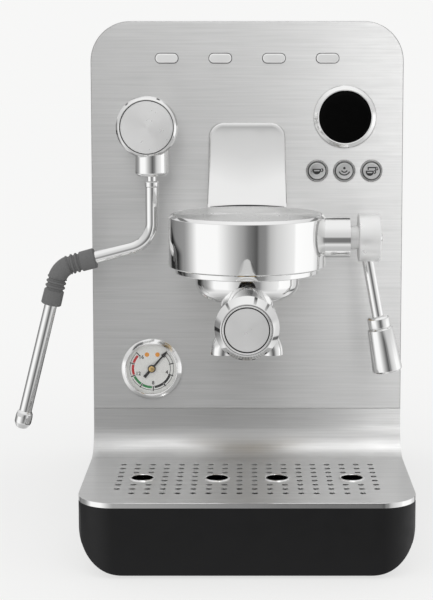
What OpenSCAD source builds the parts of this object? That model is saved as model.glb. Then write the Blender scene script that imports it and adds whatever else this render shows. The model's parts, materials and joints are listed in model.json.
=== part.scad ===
// Espresso machine: steel front panel, chrome brew group, steam wand and lever, sliding drip tray.
// Origin: on the counter, on the machine's mid-plane, under the front panel's face.
// +X is to the user's right, +Y goes to the back of the machine, +Z is up. Millimetres.

/* [Front panel] */
// Width of the steel front panel and of the drip tray
panel_w = 218; // [212:1:226]
// Height of the panel's top edge above the counter
panel_top = 354.5; // [352:0.5:358]
// Radius of the panel's top corners
panel_r = 28; // [18:1:34]
// Thickness of the panel
panel_t = 3; // [2:0.5:4]

/* [Casing] */
// Depth from the panel's face to the back of the casing
body_d = 205; // [203:1:215]
// Wall thickness of the plastic casing
wall = 3; // [2.5:0.5:4]

/* [Brew group] */
// Distance from the panel's face to the brew axis
group_y = 81; // [79:0.5:83]
// Radius of the chrome collar
collar_r = 51; // [50.5:0.5:53]
// Height of the collar's flat top
collar_top = 228.5; // [227:0.5:230]
// Width of the neck that carries the collar
neck_w = 55; // [50:1:60]
// Height of the neck's top
neck_top = 284.4; // [275:0.2:290]

/* [Portafilter] */
// Outer radius of the bowl
bowl_r = 34; // [33.5:0.25:34.5]
// Height of the handle's axis
handle_z = 174; // [173:0.5:175]
// Reach of the handle from the brew axis
handle_reach = 125; // [115:1:135]
// Largest radius of the handle
handle_r = 18.9; // [17:0.1:20]

/* [Steam wand] */
// Sideways place of the wand's pivot
wand_x = -64.6; // [-67:0.1:-63]
// Forward place of the wand's pivot
wand_y = -38; // [-42:0.5:-36]
// Radius of the steam cap's face
cap_r = 20.8; // [19:0.2:22]
// Height of the steam cap's centre
cap_z = 283; // [280:0.5:286]

/* [Steam lever] */
// Height of the lever's pivot
lever_z = 212.4; // [210:0.2:214]
// Outward lean of the lever's rod
lever_lean = 10.5; // [4:0.5:11]

/* [Dials and buttons] */
// Sideways place of the display's centre
display_x = 68.3; // [60:0.1:74]
// Height of the display's centre
display_z = 288.1; // [284:0.1:300]
// Spacing of the three buttons
button_pitch = 19; // [18:0.5:20]
// Height of the buttons' centres
button_z = 250.3; // [248:0.1:254]
// Sideways place of the pressure gauge
gauge_x = -67.6; // [-75:0.1:-50]
// Height of the pressure gauge
gauge_z = 109.8; // [108:0.1:125]

/* [Drip tray] */
// Depth of the tray in front of the panel's face
tray_d = 128; // [126:1:134]
// Height of the tray's flat top
tray_top = 49.3; // [47:0.1:51]
// Height of the seam between the tray's upstand and the panel
seam_z = 80.7; // [78:0.1:84]
// Radius of the tray's front corners in plan
tray_r = 24; // [20:1:26]
// Spacing of the drain holes
hole_pitch = 10; // [9.5:0.5:10]

/* [Hidden] */
$fn = 96;

// Casing
shell_w = panel_w - 4;
shell_top = panel_top - 6.5;
shell_r = panel_r - 2;
back_r = 22;
floor_z = 4;
chassis_top = 46;
chassis_w = shell_w - 2 * wall - 1;
tongue_w = 150;
tongue_t = 4;
tongue_front = tray_d - 14;
cover_w = 172;
cover_z0 = 58;
cover_z1 = 318;

// Water tank bay, at the back
bay_y0 = 128;
tank_w = 168;
tank_y0 = 133;
tank_y1 = body_d - wall - 6;
tank_z0 = 140;
seat_t = 5;
tank_wall = 2.5;
tank_mid = (tank_y0 + tank_y1) / 2;
lid_over = 4;
lid_t = 2.6;
lid_z0 = shell_top + 0.3;
lid_hinge_r = 1.5;
lid_hinge_y = tank_y1 + 0.7;
boiler_y = 62;
boiler_r = 30;
pump_x = 0;
pump_z = 84;

// Brew group, heights
collar_bottom = 195;
lip_bottom = 190.4;
lip_r = collar_r - 4;
group_bore_r = 35;
groove_r = 41;
groove_z0 = 193;
groove_z1 = 199.6;
seal_z = 203.5;
casting_top = collar_top - 3.2;
casting_bottom = lip_bottom + 0.6;
arm_w = 40;
arm_z0 = 196;
arm_z1 = 222;
neck_foot = 29;
neck_head = 7;

// Portafilter
unlock_turn = 45;
ear_span = 34;
bowl_floor = 172.5;
bowl_corner = 12;
bowl_top = 202.2;
basket_r = 29.3;
spout_z = 136;
spout_r = 16.5;
spout_tube_r = 7.5;

// Steam wand: a flat path that starts down the pivot axis. Angle 180 is straight down, 270 is to the left.
pipe_r = 4.3;
wand_top = 242;
cap_x = wand_x - 2.5;
cap_y = -42;
disc_r = cap_r - 3;
wand_drop = 24;
bend_r = 18;
slope = 255;
run_1 = 26;
sleeve_r = 6.8;
sleeve_in = 17;
sleeve_bend_r = 14;
tube_dir = 194;
sleeve_out = 18;
tube_len = 76;
tip_len = 12.5;
lap = 0.5;
function heading(a) = [sin(a), cos(a)];
function sideways(a) = [cos(a), -sin(a)];
function bend_centre(p, a0, a1, r) = p + sign(a1 - a0) * r * sideways(a0);
function bend_end(p, a0, a1, r) = bend_centre(p, a0, a1, r) - sign(a1 - a0) * r * sideways(a1);
w0 = [wand_x, wand_top];
w1 = w0 + wand_drop * heading(180);
w2 = bend_end(w1, 180, slope, bend_r);
w3 = w2 + run_1 * heading(slope);
w4 = w3 + sleeve_in * heading(slope);
w5 = bend_end(w4, slope, tube_dir, sleeve_bend_r);
w6 = w5 + sleeve_out * heading(tube_dir);
w7 = w6 + tube_len * heading(tube_dir);

// Steam lever
lever_x = 79.6;
rod_in = 3.3;
boss_end = 67;
drum_r = 15.7;
drum_w = 13.9;

// Steam lever, distances along its rod from the pivot's height
grip_neck = 53;
grip_start = 61.3;
grip_end = 90;

// Gauge
gauge_r = 21.7;
needle_rest = 41;
needle_tip = 16.4;
needle_tail = 8;

// ---------------------------------------------------------------- helpers

// Extrudes a drawing of the front view (its Y is height) between two depths
module upright(y0, y1) {
  translate([0, y1, 0]) rotate([90, 0, 0]) linear_extrude(y1 - y0) children();
}

// Turns a lathe profile so that its axis points at the user; height in the profile is reach
module facing(x, y, z) {
  translate([x, y, z]) rotate([90, 0, 0]) children();
}

// Front-view outline with round top corners, standing on y = 0
module arch(w, h, r) {
  translate([-w / 2, 0]) square([w, h - r]);
  translate([-w / 2 + r, 0]) square([w - 2 * r, h]);
  for (s = [-1, 1]) translate([s * (w / 2 - r), h - r]) circle(r);
}

// Rectangle with round corners, centred
module round_rect(w, d, r) {
  square([w, d - 2 * r], center = true);
  square([w - 2 * r, d], center = true);
  for (s = [-1, 1], t = [-1, 1]) translate([s * (w / 2 - r), t * (d / 2 - r)]) circle(r);
}

// Plan outline with round corners at the low-Y end only
module front_rounded(w, y0, y1, r) {
  translate([-w / 2, y0 + r]) square([w, y1 - y0 - r]);
  translate([-w / 2 + r, y0]) square([w - 2 * r, y1 - y0]);
  for (s = [-1, 1]) translate([s * (w / 2 - r), y0 + r]) circle(r);
}

// Ring or disc between two radii
module ring(r_out, r_in, h) {
  difference() {
    cylinder(h = h, r = r_out);
    if (r_in > 0) translate([0, 0, -1]) cylinder(h = h + 2, r = r_in);
  }
}

// Straight stretch of the wand
module run(p, a, len, r) {
  translate([p[0], wand_y, p[1]]) rotate([0, a, 0]) cylinder(h = len, r = r);
}

// Bent stretch of the wand, a hair thinner than the straight ones that overlap its ends
module bend(p, a0, a1, radius, r) {
  c = bend_centre(p, a0, a1, radius);
  start = a1 > a0 ? 180 - a1 : -a0;
  translate([c[0], wand_y, c[1]]) rotate([90, 0, 0]) rotate([0, 0, start])
    rotate_extrude(angle = abs(a1 - a0)) translate([radius, 0]) circle(r);
}

// ---------------------------------------------------------------- casing

// Low pan that carries everything, with the flat tongue that the drip tray slides on
module base_chassis() {
  color("#26262a") difference() {
    union() {
      intersection() {
        translate([0, 0, floor_z]) linear_extrude(chassis_top - floor_z)
          translate([0, panel_t + body_d / 2]) rotate(180)
            front_rounded(chassis_w, -body_d / 2 + wall + 3.5, body_d / 2, back_r - wall);
        translate([-panel_w, 0, 0]) cube([2 * panel_w, body_d, 100]);
      }
      translate([-tongue_w / 2, -tongue_front, floor_z]) cube([tongue_w, tongue_front + 10, tongue_t]);
    }
    translate([-chassis_w / 2 + wall, panel_t + wall, floor_z + wall])
      cube([chassis_w - 2 * wall, bay_y0 - panel_t - 2 * wall, chassis_top]);
    translate([-tank_w / 2 - 2, bay_y0 + wall + 3, floor_z + wall])
      cube([tank_w + 4, tank_y1 - bay_y0 - wall - 12, chassis_top]);
  }
}

module front_foot() {
  color("#1c1c1c") linear_extrude(floor_z) round_rect(150, 16, 5);
}

module rear_feet() {
  color("#1c1c1c") for (s = [-1, 1]) translate([s * 78, body_d - 34, 0]) {
    cylinder(h = floor_z, r = 10);
  }
}

// Brushed steel front with openings for the dials, the buttons, the group arm and the steam housing
module front_panel() {
  color("#c4c4c2") difference() {
    upright(0, panel_t) translate([0, seam_z]) arch(panel_w, panel_top - seam_z, panel_r);
    facing(display_x, panel_t + 1, display_z) cylinder(h = panel_t + 2, r = 20.6);
    facing(gauge_x, panel_t + 1, gauge_z) cylinder(h = panel_t + 2, r = 20.2);
    for (i = [-1:1]) facing(display_x - 0.3 + i * button_pitch, panel_t + 1, button_z)
      cylinder(h = panel_t + 2, r = 7.2);
    facing(wand_x - 2, panel_t + 1, cap_z) cylinder(h = panel_t + 2, r = 12.2);
    translate([-arm_w / 2 - 0.2, -1, arm_z0 - 0.2])
      cube([arm_w + 0.4, panel_t + 2, arm_z1 - arm_z0 + 0.4]);
  }
}

// Four plain raised bars
module badge_bars() {
  color("#e4e4e4") for (i = [0:3]) translate([37.3 * (i - 1.5), 0, 328.8])
    upright(-1.8, 0) round_rect(15.5, 6.4, 3);
}

// Casing behind the panel: round top corners, round back corners, a well for the tank
module body_shell() {
  color("#242426") difference() {
    casing_solid(0);
    casing_solid(wall);
    translate([-tank_w / 2 - 2, tank_y0 - 2, shell_top - 20]) cube([tank_w + 4, tank_y1 - tank_y0 + 4, 40]);
    translate([-cover_w / 2 + 4, body_d - wall - 4, cover_z0 + 4])
      cube([cover_w - 8, 20, cover_z1 - cover_z0 - 8]);
    for (s = [-1, 1], z = [cover_z0 + 12, cover_z1 - 12])
      facing(s * (cover_w / 2 + 8), body_d + 1, z) cylinder(h = 12, r = 1.6);
  }
}

// The casing's outer form, or its inside when grown is the wall
module casing_solid(inset) {
  low = inset > 0 ? -1 : floor_z;
  intersection() {
    upright(panel_t - (inset > 0 ? 5 : 0), body_d + 5) translate([0, low])
      arch(shell_w - 2 * inset, shell_top - inset - low, shell_r - inset);
    linear_extrude(400) translate([0, body_d / 2]) rotate(180)
      front_rounded(shell_w - 2 * inset, -body_d / 2 + inset, body_d / 2 + 5, back_r - inset);
  }
}

// Screwed-on back with vent slots, the mains inlet and the power button
module rear_cover() {
  color("#2c2c2f") difference() {
    upright(body_d, body_d + 2) translate([0, (cover_z0 + cover_z1) / 2])
      round_rect(cover_w + 28, cover_z1 - cover_z0, 8);
    for (i = [0:9]) translate([-55, body_d - 1, 112 + i * 9]) cube([110, 4, 3.4]);
    for (s = [-1, 1], z = [cover_z0 + 12, cover_z1 - 12])
      facing(s * (cover_w / 2 + 8), body_d + 5, z) cylinder(h = 9, r = 1.8);
    facing(-52, body_d + 5, 82) cylinder(h = 9, r = 7.1);
    facing(52, body_d + 5, 82) cylinder(h = 9, r = 8.3);
  }
}

module cover_screws() {
  color("#9a9a9a") for (s = [-1, 1], z = [cover_z0 + 12, cover_z1 - 12])
    translate([s * (cover_w / 2 + 8), body_d + 2, z]) {
      rotate([-90, 0, 0]) difference() {
        cylinder(h = 2, r = 3.4);
        for (a = [0, 90]) rotate(a) translate([-2.2, -0.4, 1]) cube([4.4, 0.8, 2]);
      }
      rotate([90, 0, 0]) cylinder(h = 7, r = 1.5);
    }
}

// Upright wall between the works and the tank bay
module bay_wall() {
  color("#3a3a3e") difference() {
    translate([-shell_w / 2 + 12, bay_y0 - wall, chassis_top])
      cube([shell_w - 24, wall, shell_top - wall - chassis_top - 20]);
    facing(pump_x, bay_y0 + 1, pump_z) cylinder(h = 6, r = 6);
  }
}

// Cup warmer on top, with a raised rim and slots
module cup_plate() {
  color("#bdbdbb") translate([0, 68, 0]) difference() {
    translate([0, 0, shell_top]) linear_extrude(4) round_rect(176, 96, 12);
    translate([0, 0, shell_top + 1.6]) linear_extrude(4) round_rect(171, 91, 9.5);
    for (i = [-6:6]) translate([i * 12, 0, shell_top - 1]) linear_extrude(4) round_rect(4, 66, 1.9);
  }
}

// ---------------------------------------------------------------- display, buttons, gauge

module display_bezel() {
  color("#dcdcdc") facing(display_x, 0, display_z) rotate_extrude() polygon([
    [18.8, -12], [20.4, -12], [20.4, 0], [22, 0], [22, 1.2], [20.6, 3.8], [19.4, 4], [18.8, 3.4]
  ]);
}

module display_glass() {
  color("#080808") facing(display_x, 0, display_z) translate([0, 0, 0.4]) cylinder(h = 2, r = 18.75);
}

module button_rings() {
  color("#55565a") for (i = [-1:1]) facing(display_x - 0.3 + i * button_pitch, 0, button_z)
    rotate_extrude() polygon([
      [6.25, -6], [7, -6], [7, 0], [7.8, 0], [7.8, 0.8], [7.2, 1.6], [6.6, 1.6], [6.25, 1.2]
    ]);
}

// Push button: a flat cap, a barrel in the ring and a stem towards its switch
module push_button(i) {
  color("#a9aaad") facing(display_x - 0.3 + i * button_pitch, 0, button_z) rotate_extrude() polygon([
    [0, -13], [2, -13], [2, -8], [5.9, -8], [5.9, 1.4], [5.3, 2], [0, 2]
  ]);
}

module button_one_cup() {
  push_button(-1);
}

module button_steam() {
  push_button(0);
}

module button_two_cups() {
  push_button(1);
}

// Circuit board behind the display and the buttons, with three switches
module control_board() {
  color("#1f5d3a") {
    translate([40, 17, 236]) cube([58, 1.6, 76]);
    for (i = [-1:1]) translate([display_x - 3.3 + i * button_pitch, 15, button_z - 3]) cube([6, 2, 6]);
    translate([44, 18.6, 262]) cube([14, 9, 20]);
    translate([64, 18.6, 290]) cube([24, 5, 12]);
  }
}

// Gauge can with its pressure stem; the dial, the bezel and the lens close its front
module gauge_can() {
  color("#8f8f8f") facing(gauge_x, 0, gauge_z) difference() {
    rotate_extrude() polygon([
      [0, -24], [19.9, -24], [19.9, 0], [21.6, 0], [21.6, 1], [18.9, 1], [18.9, -22], [0, -22]
    ]);
    translate([0, 0, -30]) cylinder(h = 12, r = 2);
  }
  color("#b08d4f") facing(gauge_x, 24, gauge_z) translate([0, 0, -14]) ring(5, 2, 14);
}

module gauge_bezel() {
  color("#d8d8d8") facing(gauge_x, 0, gauge_z) rotate_extrude() polygon([
    [18.95, 1], [gauge_r, 1], [gauge_r, 2.6], [20.6, 4.8], [19.6, 5.2], [18.95, 4.6]
  ]);
}

module gauge_dial() {
  color("#e9e9e6") facing(gauge_x, 0, gauge_z) translate([0, 0, 0.2]) ring(18.8, 1.2, 0.8);
}

// Needle with its tail, hub and spindle; it turns clockwise from zero
module gauge_needle() {
  color("#111111") facing(gauge_x, 0, gauge_z) {
    rotate([0, 0, -needle_rest]) translate([0, 0, 1.8]) linear_extrude(0.6) polygon([
      [-0.95, -needle_tail], [0.95, -needle_tail], [0.5, 0], [0.5, needle_tip - 3.2],
      [1.2, needle_tip - 3.2], [0, needle_tip], [-1.2, needle_tip - 3.2], [-0.5, needle_tip - 3.2], [-0.5, 0]
    ]);
    translate([0, 0, 1.6]) cylinder(h = 1.2, r = 2.6);
    translate([0, 0, -6]) cylinder(h = 8, r = 0.8);
  }
}

module gauge_lens() {
  color("#eef4f6", 0.3) facing(gauge_x, 0, gauge_z) translate([0, 0, 3.4]) cylinder(h = 0.9, r = 18.9);
}

// ---------------------------------------------------------------- brew group

// Slanted neck: a hollowed front face between the panel and the collar
module group_neck() {
  hollow_r = 90;
  rise = neck_top - collar_top;
  run_y = neck_foot - neck_head;
  chord = sqrt(rise * rise + run_y * run_y);
  mid = [(-neck_foot - neck_head) / 2, (neck_top + collar_top) / 2];
  off = sqrt(hollow_r * hollow_r - chord * chord / 4);
  centre = mid + off * [-rise, run_y] / chord;
  color("#dededc") difference() {
    intersection() {
      translate([-neck_w, 0, 0]) rotate([90, 0, 90]) linear_extrude(2 * neck_w) difference() {
        polygon([
          [0, collar_bottom + 2], [0, neck_top], [-neck_head, neck_top], [-neck_foot, collar_top],
          [-neck_foot - 9, collar_top], [-neck_foot - 9, collar_bottom + 2]
        ]);
        translate(centre) circle(r = hollow_r, $fn = 240);
      }
      upright(-60, 1) translate([0, collar_bottom]) arch(neck_w, neck_top - collar_bottom, 11);
    }
    translate([0, -group_y, 100]) cylinder(h = collar_top - 100, r = collar_r);
    translate([-arm_w / 2 - 0.1, -60, arm_z0 - 0.1]) cube([arm_w + 0.2, 70, arm_z1 - arm_z0 + 0.2]);
  }
}

// Chrome cover ring with a flat bevelled top and a stepped lower lip
module group_collar() {
  color("#e6e6e6") difference() {
    translate([0, -group_y, 0]) rotate_extrude() polygon([
      [0, collar_top], [collar_r - 1.7, collar_top], [collar_r, collar_top - 1.7], [collar_r, collar_bottom],
      [collar_r - 0.8, collar_bottom - 0.8], [lip_r, collar_bottom - 0.8], [lip_r, lip_bottom + 0.8],
      [lip_r - 0.8, lip_bottom], [lip_r - 3.4, lip_bottom], [lip_r - 3.4, casting_top], [0, casting_top]
    ]);
    translate([-arm_w / 2 - 0.1, -group_y + 20, arm_z0 - 0.1]) cube([arm_w + 0.2, 60, arm_z1 - arm_z0 + 0.2]);
    translate([40, -group_y + 4, lever_z]) rotate([0, 90, 0]) cylinder(h = 20, r = 5.2);
  }
}

// Brass casting: bayonet ring for the portafilter, seal groove and the arm back to the boiler
module group_casting() {
  color("#b5924c") difference() {
    union() {
      translate([0, -group_y, casting_bottom]) cylinder(h = casting_top - casting_bottom, r = lip_r - 3.5);
      translate([-arm_w / 2, -group_y + 20, arm_z0]) cube([arm_w, group_y - 20 + 14, arm_z1 - arm_z0]);
    }
    translate([0, -group_y, 0]) {
      translate([0, 0, 180]) cylinder(h = seal_z - 180, r = group_bore_r);
      translate([0, 0, groove_z0]) cylinder(h = groove_z1 - groove_z0, r = groove_r);
      for (s = [0, 180]) rotate([0, 0, s - unlock_turn - ear_span / 2 - 4]) translate([0, 0, 180])
        rotate_extrude(angle = ear_span + 8) translate([30, 0]) square([groove_r - 30.3, groove_z0 - 179]);
      translate([0, 0, seal_z]) ring(group_bore_r, 28.5, 7.5);
      translate([0, 0, 200]) cylinder(h = 12, r = 2.1);
    }
    facing(0, 20, 215) cylinder(h = group_y + 4, r = 2.5);
    translate([0, -group_y + 18, 200]) cylinder(h = 15.6, r = 1.9);
  }
}

module group_gasket() {
  color("#4a2c24") translate([0, -group_y, seal_z]) ring(group_bore_r, 28.6, 7.4);
}

module shower_screen() {
  color("#c9c9c6") translate([0, -group_y, seal_z - 1.6]) difference() {
    ring(28, 2.3, 1.6);
    for (k = [1:3], a = [0:360 / (6 * k):359])
      rotate(a + 15) translate([k * 7, 0, -1]) cylinder(h = 4, r = 1.2);
  }
}

module screen_screw() {
  color("#b0b0b0") translate([0, -group_y, 0]) {
    translate([0, 0, seal_z - 3.2]) cylinder(h = 1.6, r = 4.4);
    translate([0, 0, seal_z - 2]) cylinder(h = 9, r = 2);
  }
}

// ---------------------------------------------------------------- portafilter

// Bowl with two bayonet ears and the keel that holds the handle's neck
module portafilter_bowl() {
  color("#e2e2e2") translate([0, -group_y, 0]) difference() {
    union() {
      rotate_extrude() {
        translate([0, bowl_floor]) square([bowl_r - bowl_corner, bowl_top - bowl_floor]);
        translate([0, bowl_floor + bowl_corner]) square([bowl_r, bowl_top - bowl_floor - bowl_corner]);
        translate([bowl_r - bowl_corner, bowl_floor + bowl_corner]) circle(bowl_corner);
      }
      translate([0, 0, handle_z - 12]) cylinder(h = 20, r = 14);
      facing(0, 0, handle_z) cylinder(h = 40, r = 11.8);
      for (s = [0, 180]) rotate([0, 0, s - ear_span / 2]) translate([0, 0, groove_z0 + 0.4])
        rotate_extrude(angle = ear_span) translate([30, 0]) square([groove_r - 30.7, 5.6]);
    }
    translate([0, 0, bowl_floor + 10.1]) cylinder(h = 40, r = bowl_r - 3);
    translate([0, 0, bowl_floor + 5.5]) cylinder(h = 40, r = bowl_r - 5.4);
    translate([0, 0, 150]) cylinder(h = 40, r = 4.5);
    facing(0, -30, handle_z) cylinder(h = 12, r = 4);
  }
}

// Pressed basket for 58 mm tampers, its lip on the bowl's rim
module filter_basket() {
  color("#d2d2cf") translate([0, -group_y, 0]) rotate_extrude() polygon([
    [0, 181], [basket_r - 4, 181], [basket_r, 185], [basket_r, bowl_top + 1.2], [33.4, bowl_top + 1.2],
    [33.4, bowl_top], [basket_r + 0.9, bowl_top], [basket_r + 0.9, 184.6], [basket_r - 3.6, 180.1], [0, 180.1]
  ]);
}

// Turned grip: a slim neck that swells to a bevelled end
module portafilter_handle() {
  color("#dadada") facing(0, -group_y, handle_z) rotate_extrude() polygon([
    [0, 40], [11.8, 40], [12, 48], [12.8, 65], [15.6, 66], [16.9, 70], [17.9, 78], [18.3, 92],
    [handle_r, handle_reach - 9], [handle_r, handle_reach - 7.5], [14.6, handle_reach],
    [14.4, handle_reach - 2], [0, handle_reach - 2]
  ]);
}

module handle_end_ring() {
  color("#f0f0f0") facing(0, -group_y, handle_z) translate([0, 0, handle_reach - 2]) ring(14.3, 13.6, 2.3);
}

module handle_end_disc() {
  color("#cfcfcf") facing(0, -group_y, handle_z)
    translate([0, 0, handle_reach - 2]) cylinder(h = 1.7, r = 13.3);
}

// Half-ring spout, open at both ends, hung from a nut under the bowl
module twin_spout() {
  top = handle_z - 12;
  color("#dcdcdc") translate([0, -group_y, 0]) difference() {
    union() {
      translate([0, 0, spout_z]) rotate([90, 0, 0]) rotate_extrude(angle = 180)
        translate([spout_r, 0]) circle(spout_tube_r);
      translate([0, 0, spout_z + spout_r]) cylinder(h = top - spout_z - spout_r, r = 9);
    }
    translate([0, 0, spout_z]) rotate([90, 0, 0]) rotate([0, 0, -10]) rotate_extrude(angle = 200)
      translate([spout_r, 0]) circle(spout_tube_r - 1.8);
    translate([0, 0, spout_z + spout_r]) cylinder(h = 20, r = 4.5);
  }
}

// ---------------------------------------------------------------- steam wand

// Horizontal arm from the panel with a vertical valve block that the wand turns in
module steam_housing() {
  arm_x = wand_x - 2;
  color("#d6d6d6") difference() {
    union() {
      facing(arm_x, 0, cap_z) cylinder(h = 42, r = 13.5);
      facing(arm_x, panel_t + 5, cap_z) cylinder(h = 10, r = 12);
      translate([wand_x, wand_y, 249.8]) rotate_extrude() {
        square([9.2, 2]);
        translate([0, 2]) square([11.2, cap_z - 251.8]);
        translate([9.2, 2]) circle(2);
      }
    }
    facing(cap_x, cap_y, cap_z) cylinder(h = 12, r = cap_r + 0.1);
    translate([wand_x, wand_y, 240]) cylinder(h = 27, r = 3.5);
    facing(arm_x, 10, cap_z) cylinder(h = 30, r = 3);
  }
}

module steam_cap() {
  color("#ececec") facing(cap_x, cap_y, cap_z) rotate_extrude() polygon([
    [0, 0], [cap_r - 1, 0], [cap_r, 1], [cap_r, 4.4], [cap_r - 1, 6.6], [cap_r - 2.3, 8],
    [disc_r + 0.3, 8], [disc_r + 0.3, 6.6], [0, 6.6]
  ]);
}

module steam_disc() {
  color("#c8c8c8") facing(cap_x, cap_y, cap_z) translate([0, 0, 6.6]) cylinder(h = 0.9, r = disc_r);
}

// Stub, collar and bent upper pipe
module wand_pipe() {
  color("#e0e0e0") {
    translate([wand_x, wand_y, wand_top]) cylinder(h = 22, r = 3.2);
    translate([wand_x, wand_y, wand_top]) cylinder(h = 4.2, r = 4.75);
    run(w0, 180, wand_drop + lap, pipe_r);
    bend(w1, 180, slope, bend_r, pipe_r - 0.1);
    run(w2 - lap * heading(slope), slope, run_1 + lap, pipe_r);
  }
}

// Silicone hand sleeve over the wand's second bend
module wand_sleeve() {
  color("#5c5c5e") {
    run(w3, slope, sleeve_in + lap, sleeve_r);
    bend(w4, slope, tube_dir, sleeve_bend_r, sleeve_r - 0.2);
    run(w5 - lap * heading(tube_dir), tube_dir, sleeve_out + lap, sleeve_r);
  }
}

module wand_tube() {
  color("#e0e0e0") run(w6, tube_dir, tube_len, pipe_r);
}

// Steam nozzle with a small hole in its end
module wand_tip() {
  color("#d0d0d0") translate([w7[0], wand_y, w7[1]]) rotate([0, tube_dir, 0]) difference() {
    rotate_extrude() polygon([
      [0, 0], [5.4, 0], [5.75, 1], [5.75, tip_len - 4], [3.4, tip_len], [0, tip_len]
    ]);
    translate([0, 0, tip_len - 5]) cylinder(h = 8, r = 0.7);
  }
}

// ---------------------------------------------------------------- steam lever

// Places the lever's parts on the rod's axis level with the pivot, with +Z along the rod
module on_lever() {
  translate([lever_x - rod_in, -group_y + 4, lever_z]) rotate([0, 180 - lever_lean, 0]) children();
}

// Valve boss on the collar's side, bored for the lever's shaft
module lever_boss() {
  color("#e0e0e0") difference() {
    translate([30, -group_y + 4, lever_z]) rotate([0, 90, 0]) cylinder(h = boss_end - 30, r = 13.2);
    translate([0, -group_y, 100]) cylinder(h = 200, r = collar_r);
    translate([30, -group_y + 4, lever_z]) rotate([0, 90, 0]) cylinder(h = 50, r = 4.3);
    translate([boss_end - 3, -group_y + 4, lever_z]) rotate([0, 90, 0]) cylinder(h = 10, r = 8.1);
  }
}

module lever_drum() {
  color("#d6d6d6") translate([0, -group_y + 4, lever_z]) rotate([0, 90, 0]) {
    translate([0, 0, lever_x - drum_w / 2]) rotate_extrude() polygon([
      [0, 0], [drum_r - 0.8, 0], [drum_r, 0.8], [drum_r, drum_w - 0.8], [drum_r - 0.8, drum_w], [0, drum_w]
    ]);
    translate([0, 0, boss_end - 2.6]) cylinder(h = lever_x - drum_w / 2 - boss_end + 2.6, r = 7.8);
    translate([0, 0, 54]) cylinder(h = boss_end - 53, r = 4);
  }
}

module lever_screw() {
  color("#c2c2c2") translate([lever_x + drum_w / 2, -group_y + 4, lever_z]) rotate([0, 90, 0])
    rotate_extrude() intersection() {
      translate([0, -2.33]) circle(4.63);
      square([4, 4]);
    }
}

module lever_rod() {
  color("#e2e2e2") difference() {
    on_lever() translate([0, 0, drum_r - 3]) cylinder(h = grip_neck + 6 - drum_r, r = 3.8);
    translate([lever_x - drum_w, -group_y + 4, lever_z]) rotate([0, 90, 0])
      cylinder(h = 2 * drum_w, r = drum_r);
    on_lever() translate([0, 0, grip_neck]) cylinder(h = 20, r = 10);
  }
}

module lever_grip() {
  color("#e4e4e4") on_lever() rotate_extrude() polygon([
    [0, grip_neck], [6.5, grip_neck], [7.35, grip_neck + 0.9], [7.35, grip_start - 1], [8.5, grip_start],
    [9.8, grip_end - 0.8], [9, grip_end], [3, grip_end], [3, grip_end - 1.5], [0, grip_end - 1.5]
  ]);
}

// ---------------------------------------------------------------- drip tray

// Black bin under the cover: round front corners in plan, round lower corners in the front view
module tray_bin() {
  lip = tray_top - 3.3;
  color("#202022") difference() {
    intersection() {
      translate([0, 0, 2]) linear_extrude(lip - 2) front_rounded(panel_w, -tray_d, 0, tray_r);
      upright(-tray_d - 1, 1) translate([0, lip]) mirror([0, 1]) arch(panel_w, lip - 2, 30);
    }
    intersection() {
      translate([0, 0, 12]) linear_extrude(lip) front_rounded(panel_w - 6, -tray_d + 3, -3, tray_r - 3);
      upright(-tray_d - 1, 1) translate([0, lip + 1]) mirror([0, 1]) arch(panel_w - 6, lip - 11, 24);
    }
    translate([-tongue_w / 2 - 3, -tongue_front - 3, 0])
      cube([tongue_w + 6, tongue_front + 10, floor_z + tongue_t + 1]);
  }
}

// Steel cover: a flat drained top that sweeps up at the back to meet the panel
module tray_cover() {
  sheet = 2;
  sweep = 20;
  z0 = tray_top - sheet;
  color("#bcbcba") difference() {
    union() {
      intersection() {
        union() {
          translate([-panel_w / 2, -tray_d, z0]) cube([panel_w, tray_d - sweep, sheet]);
          translate([-panel_w / 2, 0, z0 + sheet + sweep]) rotate([90, 0, 90]) linear_extrude(panel_w)
            translate([-sweep, 0]) intersection() {
              difference() {
                circle(sweep + sheet);
                circle(sweep);
              }
              translate([0, -sweep - sheet]) square([sweep + sheet, sweep + sheet]);
            }
          translate([-panel_w / 2, 0, z0 + sheet + sweep])
            cube([panel_w, sheet, seam_z - z0 - sheet - sweep]);
        }
        linear_extrude(200) front_rounded(panel_w, -tray_d, 10, tray_r);
      }
      translate([0, 0, tray_top - 3.3]) linear_extrude(2) difference() {
        front_rounded(panel_w, -tray_d, -sweep - 1, tray_r);
        front_rounded(panel_w - 4, -tray_d + 2, 0, tray_r - 2);
      }
      for (x = large_x) translate([x, -70, tray_top]) rim();
    }
    for (i = [-8.5:8.5], j = [0:7]) if (is_drained(i, j))
      translate([i * hole_pitch, -35 - j * hole_pitch, z0 - 1]) cylinder(h = 4, r = 2, $fn = 24);
    for (x = large_x) translate([x, -70, z0 - 1]) cylinder(h = 6, r = 7.2);
  }
}

large_x = [-70, -20, 20, 70];

// Rolled rim of a large drain hole
module rim() {
  translate([0, 0, -1]) rotate_extrude() translate([7.9, 1]) circle(0.9, $fn = 24);
}

// Small holes leave room round the large ones and at the front corners
function is_drained(i, j) =
  (j < 7 || abs(i) < 8) && !((j == 3 || j == 4) && (abs(abs(i) - 2) < 1 || abs(abs(i) - 7) < 1));

// ---------------------------------------------------------------- water side

module water_tank() {
  color("#6f7a80", 0.5) difference() {
    translate([0, tank_mid, tank_z0]) linear_extrude(shell_top - tank_z0)
      round_rect(tank_w, tank_y1 - tank_y0, 12);
    translate([0, tank_mid, tank_z0 + tank_wall]) linear_extrude(shell_top)
      round_rect(tank_w - 2 * tank_wall, tank_y1 - tank_y0 - 2 * tank_wall, 12 - tank_wall);
    translate([0, tank_mid, tank_z0 - 1]) cylinder(h = 6, r = 7);
  }
}

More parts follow.
